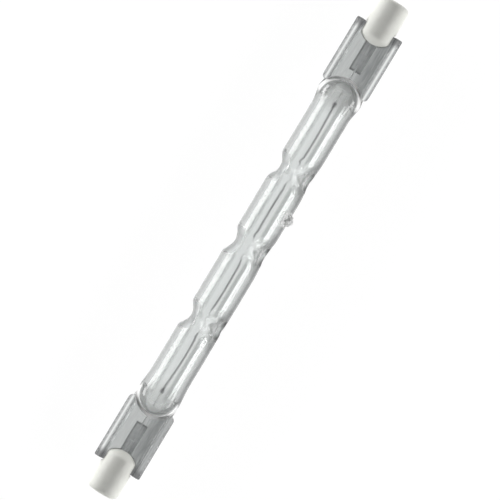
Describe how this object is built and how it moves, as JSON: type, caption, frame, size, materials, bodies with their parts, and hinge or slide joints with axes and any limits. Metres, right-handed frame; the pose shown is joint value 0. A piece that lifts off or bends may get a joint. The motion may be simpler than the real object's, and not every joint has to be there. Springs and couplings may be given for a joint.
{
  "type": "linear halogen bulb",
  "caption": "Linear halogen lamp: a necked clear quartz tube round a coiled filament, with flat pinch seals and domed ceramic caps that hold recessed contacts.",
  "frame": {"origin": "middle of the lamp, on the tube's axis", "axes": "+X along the tube, +Z square to the flat pinch seals, Y across them; the exhaust stub is on the -Y side"},
  "size_m": [0.1176, 0.0108, 0.0086],
  "materials": {
    "quartz": "clear, fire polished",
    "filament": "dark drawn wire",
    "lead_wire": "drawn wire",
    "foil": "thin rolled foil",
    "cement": "rough set paste",
    "ceramic": "matt, unglazed",
    "contact": "satin plated"
  },
  "bodies": {
    "root": {"quartz_envelope": "quartz", "filament_coil": "filament", "inner_lead_right": "lead_wire", "seal_foil_right": "foil", "outer_lead_right": "lead_wire", "cap_cement_right": "cement", "ceramic_cap_right": "ceramic", "contact_button_right": "contact", "inner_lead_left": "lead_wire", "seal_foil_left": "foil", "outer_lead_left": "lead_wire", "cap_cement_left": "cement", "ceramic_cap_left": "ceramic", "contact_button_left": "contact"}
  },
  "joints": []
}
